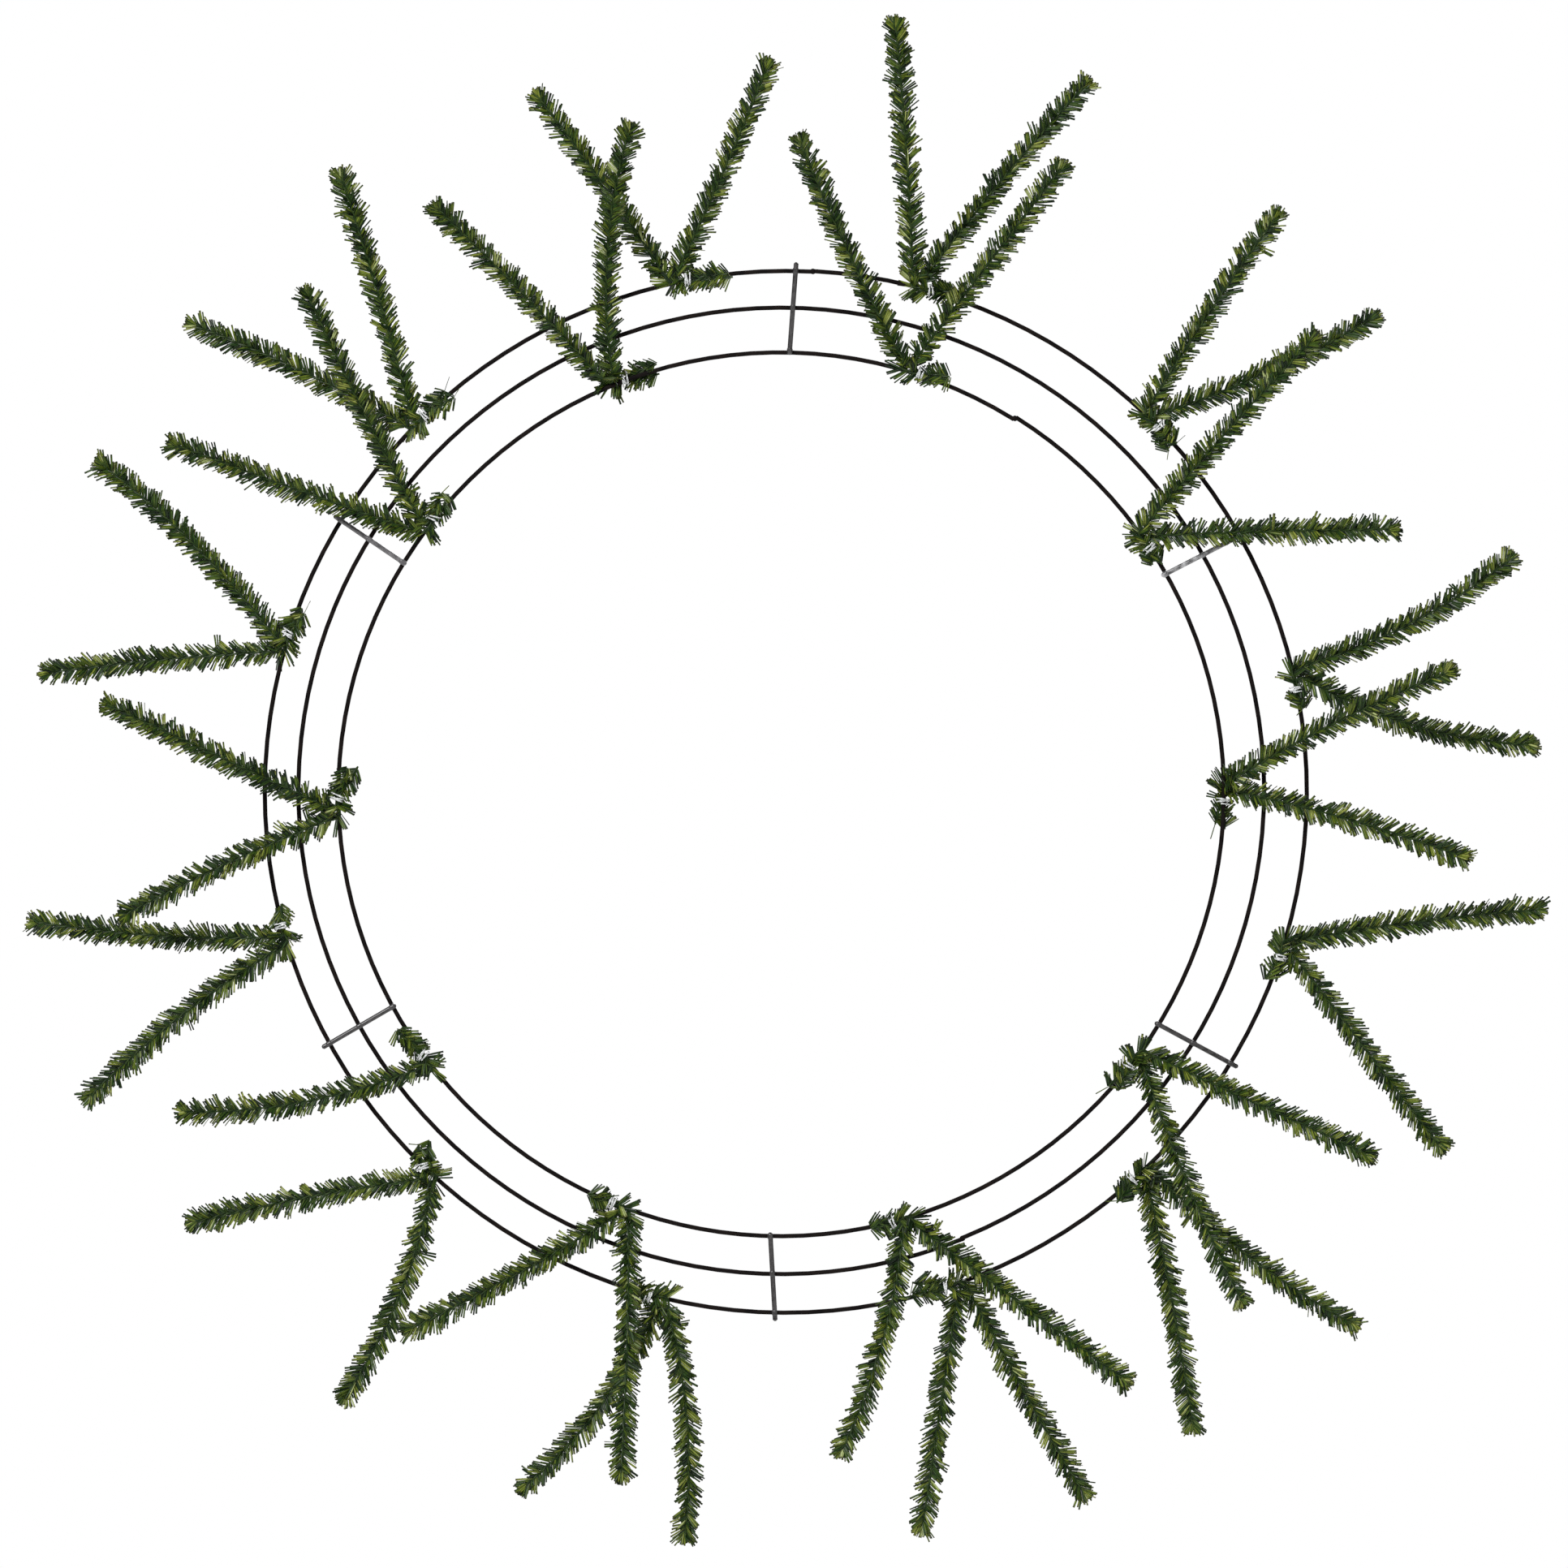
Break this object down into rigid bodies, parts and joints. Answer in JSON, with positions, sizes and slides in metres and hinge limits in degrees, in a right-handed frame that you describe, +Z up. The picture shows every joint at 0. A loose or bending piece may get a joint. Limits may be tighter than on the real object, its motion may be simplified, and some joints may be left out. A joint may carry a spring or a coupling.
{
  "type": "wire wreath frame with pine ties",
  "caption": "Flat round wire wreath frame: concentric welded rings joined by short spokes, with bendable green pine ties bound on in pairs of arms to hold mesh and ribbon.",
  "frame": {"origin": "centre of the outer ring, on its wire's mid-plane", "axes": "+Z up as it hangs, front faces -Y, +X to the viewer's right; the rings lie in the XZ plane"},
  "size_m": [0.556, 0.0361, 0.5594],
  "materials": {
    "ring_wire": "gloss black lacquer over steel wire",
    "spoke_wire": "satin black lacquer over steel wire, darkened at the welds",
    "pine_needles": "satin dark green PVC film, cut into flat needles",
    "clear_band": "clear, slightly milky plastic"
  },
  "bodies": {
    "wire_frame": {"outer_ring": "ring_wire", "middle_ring": "ring_wire", "inner_ring": "ring_wire", "spoke_1": "spoke_wire", "spoke_2": "spoke_wire", "spoke_3": "spoke_wire", "spoke_4": "spoke_wire", "spoke_5": "spoke_wire", "spoke_6": "spoke_wire", "outer_tie_tails": "pine_needles", "inner_tie_tails": "pine_needles", "outer_tie_bands": "clear_band", "inner_tie_bands": "clear_band"},
    "outer_tie_01_left_arm": {"outer_tie_01_left_arm": "pine_needles"},
    "outer_tie_01_right_arm": {"outer_tie_01_right_arm": "pine_needles"},
    "outer_tie_02_left_arm": {"outer_tie_02_left_arm": "pine_needles"},
    "outer_tie_02_right_arm": {"outer_tie_02_right_arm": "pine_needles"},
    "outer_tie_03_left_arm": {"outer_tie_03_left_arm": "pine_needles"},
    "outer_tie_03_right_arm": {"outer_tie_03_right_arm": "pine_needles"},
    "outer_tie_04_left_arm": {"outer_tie_04_left_arm": "pine_needles"},
    "outer_tie_04_right_arm": {"outer_tie_04_right_arm": "pine_needles"},
    "outer_tie_05_left_arm": {"outer_tie_05_left_arm": "pine_needles"},
    "outer_tie_05_right_arm": {"outer_tie_05_right_arm": "pine_needles"},
    "outer_tie_06_left_arm": {"outer_tie_06_left_arm": "pine_needles"},
    "outer_tie_06_right_arm": {"outer_tie_06_right_arm": "pine_needles"},
    "outer_tie_07_left_arm": {"outer_tie_07_left_arm": "pine_needles"},
    "outer_tie_07_right_arm": {"outer_tie_07_right_arm": "pine_needles"},
    "outer_tie_08_left_arm": {"outer_tie_08_left_arm": "pine_needles"},
    "outer_tie_08_right_arm": {"outer_tie_08_right_arm": "pine_needles"},
    "outer_tie_09_left_arm": {"outer_tie_09_left_arm": "pine_needles"},
    "outer_tie_09_right_arm": {"outer_tie_09_right_arm": "pine_needles"},
    "outer_tie_10_left_arm": {"outer_tie_10_left_arm": "pine_needles"},
    "outer_tie_10_right_arm": {"outer_tie_10_right_arm": "pine_needles"},
    "outer_tie_11_left_arm": {"outer_tie_11_left_arm": "pine_needles"},
    "outer_tie_11_right_arm": {"outer_tie_11_right_arm": "pine_needles"},
    "outer_tie_12_left_arm": {"outer_tie_12_left_arm": "pine_needles"},
    "outer_tie_12_right_arm": {"outer_tie_12_right_arm": "pine_needles"},
    "inner_tie_01_left_arm": {"inner_tie_01_left_arm": "pine_needles"},
    "inner_tie_01_right_arm": {"inner_tie_01_right_arm": "pine_needles"},
    "inner_tie_02_left_arm": {"inner_tie_02_left_arm": "pine_needles"},
    "inner_tie_02_right_arm": {"inner_tie_02_right_arm": "pine_needles"},
    "inner_tie_03_left_arm": {"inner_tie_03_left_arm": "pine_needles"},
    "inner_tie_03_right_arm": {"inner_tie_03_right_arm": "pine_needles"},
    "inner_tie_04_left_arm": {"inner_tie_04_left_arm": "pine_needles"},
    "inner_tie_04_right_arm": {"inner_tie_04_right_arm": "pine_needles"},
    "inner_tie_05_left_arm": {"inner_tie_05_left_arm": "pine_needles"},
    "inner_tie_05_right_arm": {"inner_tie_05_right_arm": "pine_needles"},
    "inner_tie_06_left_arm": {"inner_tie_06_left_arm": "pine_needles"},
    "inner_tie_06_right_arm": {"inner_tie_06_right_arm": "pine_needles"},
    "inner_tie_07_right_arm": {"inner_tie_07_right_arm": "pine_needles"},
    "inner_tie_08_left_arm": {"inner_tie_08_left_arm": "pine_needles"},
    "inner_tie_08_right_arm": {"inner_tie_08_right_arm": "pine_needles"},
    "inner_tie_09_left_arm": {"inner_tie_09_left_arm": "pine_needles"},
    "inner_tie_09_right_arm": {"inner_tie_09_right_arm": "pine_needles"},
    "inner_tie_10_left_arm": {"inner_tie_10_left_arm": "pine_needles"},
    "inner_tie_10_right_arm": {"inner_tie_10_right_arm": "pine_needles"}
  },
  "joints": [
    {"name": "outer_tie_01_left_fold", "type": "hinge", "parent": "wire_frame", "child": "outer_tie_01_left_arm", "pos_m": [0.04612, -0.0025, 0.18711], "axis": [0.9681, 0, -0.2504], "range_deg": [-75, 75]},
    {"name": "outer_tie_01_right_fold", "type": "hinge", "parent": "wire_frame", "child": "outer_tie_01_right_arm", "pos_m": [0.04999, -0.0025, 0.18611], "axis": [0.9681, 0, -0.2504], "range_deg": [-75, 0]},
    {"name": "outer_tie_02_left_fold", "type": "hinge", "parent": "wire_frame", "child": "outer_tie_02_left_arm", "pos_m": [0.13228, -0.0025, 0.14014], "axis": [0.7193, 0, -0.6947], "range_deg": [-75, 75]},
    {"name": "outer_tie_02_right_fold", "type": "hinge", "parent": "wire_frame", "child": "outer_tie_02_right_arm", "pos_m": [0.13515, -0.0025, 0.13737], "axis": [0.7193, 0, -0.6947], "range_deg": [-75, 0]},
    {"name": "outer_tie_03_left_fold", "type": "hinge", "parent": "wire_frame", "child": "outer_tie_03_left_arm", "pos_m": [0.18727, -0.0025, 0.04549], "axis": [0.225, 0, -0.9744], "range_deg": [-75, 75]},
    {"name": "outer_tie_03_right_fold", "type": "hinge", "parent": "wire_frame", "child": "outer_tie_03_right_arm", "pos_m": [0.18817, -0.0025, 0.04159], "axis": [0.225, 0, -0.9744], "range_deg": [-75, 0]},
    {"name": "outer_tie_04_left_fold", "type": "hinge", "parent": "wire_frame", "child": "outer_tie_04_left_arm", "pos_m": [0.18492, -0.0025, -0.05424], "axis": [-0.2924, 0, -0.9563], "range_deg": [-75, 75]},
    {"name": "outer_tie_04_right_fold", "type": "hinge", "parent": "wire_frame", "child": "outer_tie_04_right_arm", "pos_m": [0.18375, -0.0025, -0.05806], "axis": [-0.2924, 0, -0.9563], "range_deg": [-75, 75]},
    {"name": "outer_tie_05_left_fold", "type": "hinge", "parent": "wire_frame", "child": "outer_tie_05_left_arm", "pos_m": [0.13424, -0.0025, -0.13826], "axis": [-0.7254, 0, -0.6884], "range_deg": [-75, 0]},
    {"name": "outer_tie_05_right_fold", "type": "hinge", "parent": "wire_frame", "child": "outer_tie_05_right_arm", "pos_m": [0.13134, -0.0025, -0.14102], "axis": [-0.7254, 0, -0.6884], "range_deg": [-75, 75]},
    {"name": "outer_tie_06_left_fold", "type": "hinge", "parent": "wire_frame", "child": "outer_tie_06_left_arm", "pos_m": [0.0664, -0.0025, -0.18091], "axis": [-0.9426, 0, -0.3338], "range_deg": [-75, 35]},
    {"name": "outer_tie_06_right_fold", "type": "hinge", "parent": "wire_frame", "child": "outer_tie_06_right_arm", "pos_m": [0.06263, -0.0025, -0.18225], "axis": [-0.9426, 0, -0.3338], "range_deg": [-75, 75]},
    {"name": "outer_tie_07_left_fold", "type": "hinge", "parent": "wire_frame", "child": "outer_tie_07_left_arm", "pos_m": [-0.04285, -0.0025, -0.18789], "axis": [-0.9724, 0, 0.2334], "range_deg": [-75, 75]},
    {"name": "outer_tie_07_right_fold", "type": "hinge", "parent": "wire_frame", "child": "outer_tie_07_right_arm", "pos_m": [-0.04673, -0.0025, -0.18696], "axis": [-0.9724, 0, 0.2334], "range_deg": [-75, 0]},
    {"name": "outer_tie_08_left_fold", "type": "hinge", "parent": "wire_frame", "child": "outer_tie_08_left_arm", "pos_m": [-0.12856, -0.0025, -0.14356], "axis": [-0.7373, 0, 0.6756], "range_deg": [-75, 0]},
    {"name": "outer_tie_08_right_fold", "type": "hinge", "parent": "wire_frame", "child": "outer_tie_08_right_arm", "pos_m": [-0.13151, -0.0025, -0.14086], "axis": [-0.7373, 0, 0.6756], "range_deg": [-75, 75]},
    {"name": "outer_tie_09_left_fold", "type": "hinge", "parent": "wire_frame", "child": "outer_tie_09_left_arm", "pos_m": [-0.18414, -0.0025, -0.05684], "axis": [-0.284, 0, 0.9588], "range_deg": [-75, 75]},
    {"name": "outer_tie_09_right_fold", "type": "hinge", "parent": "wire_frame", "child": "outer_tie_09_right_arm", "pos_m": [-0.18528, -0.0025, -0.053], "axis": [-0.284, 0, 0.9588], "range_deg": [-75, 0]},
    {"name": "outer_tie_10_left_fold", "type": "hinge", "parent": "wire_frame", "child": "outer_tie_10_left_arm", "pos_m": [-0.18584, -0.0025, 0.051], "axis": [0.2756, 0, 0.9613], "range_deg": [-75, 75]},
    {"name": "outer_tie_10_right_fold", "type": "hinge", "parent": "wire_frame", "child": "outer_tie_10_right_arm", "pos_m": [-0.18474, -0.0025, 0.05485], "axis": [0.2756, 0, 0.9613], "range_deg": [-75, 75]},
    {"name": "outer_tie_11_left_fold", "type": "hinge", "parent": "wire_frame", "child": "outer_tie_11_left_arm", "pos_m": [-0.13898, -0.0025, 0.1335], "axis": [0.7009, 0, 0.7133], "range_deg": [-75, 0]},
    {"name": "outer_tie_11_right_fold", "type": "hinge", "parent": "wire_frame", "child": "outer_tie_11_right_arm", "pos_m": [-0.13618, -0.0025, 0.13635], "axis": [0.7009, 0, 0.7133], "range_deg": [-75, 75]},
    {"name": "outer_tie_12_left_fold", "type": "hinge", "parent": "wire_frame", "child": "outer_tie_12_left_arm", "pos_m": [-0.04386, -0.0025, 0.18766], "axis": [0.9763, 0, 0.2164], "range_deg": [-75, 0]},
    {"name": "outer_tie_12_right_fold", "type": "hinge", "parent": "wire_frame", "child": "outer_tie_12_right_arm", "pos_m": [-0.03995, -0.0025, 0.18852], "axis": [0.9763, 0, 0.2164], "range_deg": [-75, 75]},
    {"name": "inner_tie_01_left_fold", "type": "hinge", "parent": "wire_frame", "child": "inner_tie_01_left_arm", "pos_m": [0.0426, -0.0025, 0.15727], "axis": [0.9588, 0, -0.284], "range_deg": [0, 75]},
    {"name": "inner_tie_01_right_fold", "type": "hinge", "parent": "wire_frame", "child": "inner_tie_01_right_arm", "pos_m": [0.04643, -0.0025, 0.15613], "axis": [0.9588, 0, -0.284], "range_deg": [0, 75]},
    {"name": "inner_tie_02_left_fold", "type": "hinge", "parent": "wire_frame", "child": "inner_tie_02_left_arm", "pos_m": [0.13042, -0.0025, 0.09638], "axis": [0.5807, 0, -0.8141], "range_deg": [0, 75]},
    {"name": "inner_tie_02_right_fold", "type": "hinge", "parent": "wire_frame", "child": "inner_tie_02_right_arm", "pos_m": [0.13274, -0.0025, 0.09313], "axis": [0.5807, 0, -0.8141], "range_deg": [0, 75]},
    {"name": "inner_tie_03_left_fold", "type": "hinge", "parent": "wire_frame", "child": "inner_tie_03_left_arm", "pos_m": [0.16214, -0.0025, 0.00436], "axis": [0.0175, 0, -0.9998], "range_deg": [0, 75]},
    {"name": "inner_tie_03_right_fold", "type": "hinge", "parent": "wire_frame", "child": "inner_tie_03_right_arm", "pos_m": [0.16221, -0.0025, 0.00036], "axis": [0.0175, 0, -0.9998], "range_deg": [0, 75]},
    {"name": "inner_tie_04_left_fold", "type": "hinge", "parent": "wire_frame", "child": "inner_tie_04_left_arm", "pos_m": [0.13215, -0.0025, -0.09538], "axis": [-0.5878, 0, -0.809], "range_deg": [0, 75]},
    {"name": "inner_tie_04_right_fold", "type": "hinge", "parent": "wire_frame", "child": "inner_tie_04_right_arm", "pos_m": [0.1298, -0.0025, -0.09861], "axis": [-0.5878, 0, -0.809], "range_deg": [0, 75]},
    {"name": "inner_tie_05_left_fold", "type": "hinge", "parent": "wire_frame", "child": "inner_tie_05_left_arm", "pos_m": [0.04682, -0.0025, -0.15742], "axis": [-0.9588, 0, -0.284], "range_deg": [0, 45]},
    {"name": "inner_tie_05_right_fold", "type": "hinge", "parent": "wire_frame", "child": "inner_tie_05_right_arm", "pos_m": [0.04298, -0.0025, -0.15855], "axis": [-0.9588, 0, -0.284], "range_deg": [0, 75]},
    {"name": "inner_tie_06_left_fold", "type": "hinge", "parent": "wire_frame", "child": "inner_tie_06_left_arm", "pos_m": [-0.05731, -0.0025, -0.15518], "axis": [-0.9367, 0, 0.3502], "range_deg": [0, 75]},
    {"name": "inner_tie_06_right_fold", "type": "hinge", "parent": "wire_frame", "child": "inner_tie_06_right_arm", "pos_m": [-0.06105, -0.0025, -0.15378], "axis": [-0.9367, 0, 0.3502], "range_deg": [0, 75]},
    {"name": "inner_tie_07_right_fold", "type": "hinge", "parent": "wire_frame", "child": "inner_tie_07_right_arm", "pos_m": [-0.13232, -0.0025, -0.10031], "axis": [-0.6157, 0, 0.788], "range_deg": [0, 75]},
    {"name": "inner_tie_08_left_fold", "type": "hinge", "parent": "wire_frame", "child": "inner_tie_08_left_arm", "pos_m": [-0.16575, -0.0025, -0.01006], "axis": [-0.0436, 0, 0.999], "range_deg": [0, 75]},
    {"name": "inner_tie_08_right_fold", "type": "hinge", "parent": "wire_frame", "child": "inner_tie_08_right_arm", "pos_m": [-0.16592, -0.0025, -0.00606], "axis": [-0.0436, 0, 0.999], "range_deg": [0, 75]},
    {"name": "inner_tie_09_left_fold", "type": "hinge", "parent": "wire_frame", "child": "inner_tie_09_left_arm", "pos_m": [-0.13512, -0.0025, 0.09514], "axis": [0.5948, 0, 0.8039], "range_deg": [0, 75]},
    {"name": "inner_tie_09_right_fold", "type": "hinge", "parent": "wire_frame", "child": "inner_tie_09_right_arm", "pos_m": [-0.13274, -0.0025, 0.09836], "axis": [0.5948, 0, 0.8039], "range_deg": [0, 75]},
    {"name": "inner_tie_10_left_fold", "type": "hinge", "parent": "wire_frame", "child": "inner_tie_10_left_arm", "pos_m": [-0.06673, -0.0025, 0.15007], "axis": [0.9239, 0, 0.3827], "range_deg": [0, 75]},
    {"name": "inner_tie_10_right_fold", "type": "hinge", "parent": "wire_frame", "child": "inner_tie_10_right_arm", "pos_m": [-0.06303, -0.0025, 0.1516], "axis": [0.9239, 0, 0.3827], "range_deg": [0, 75]}
  ]
}
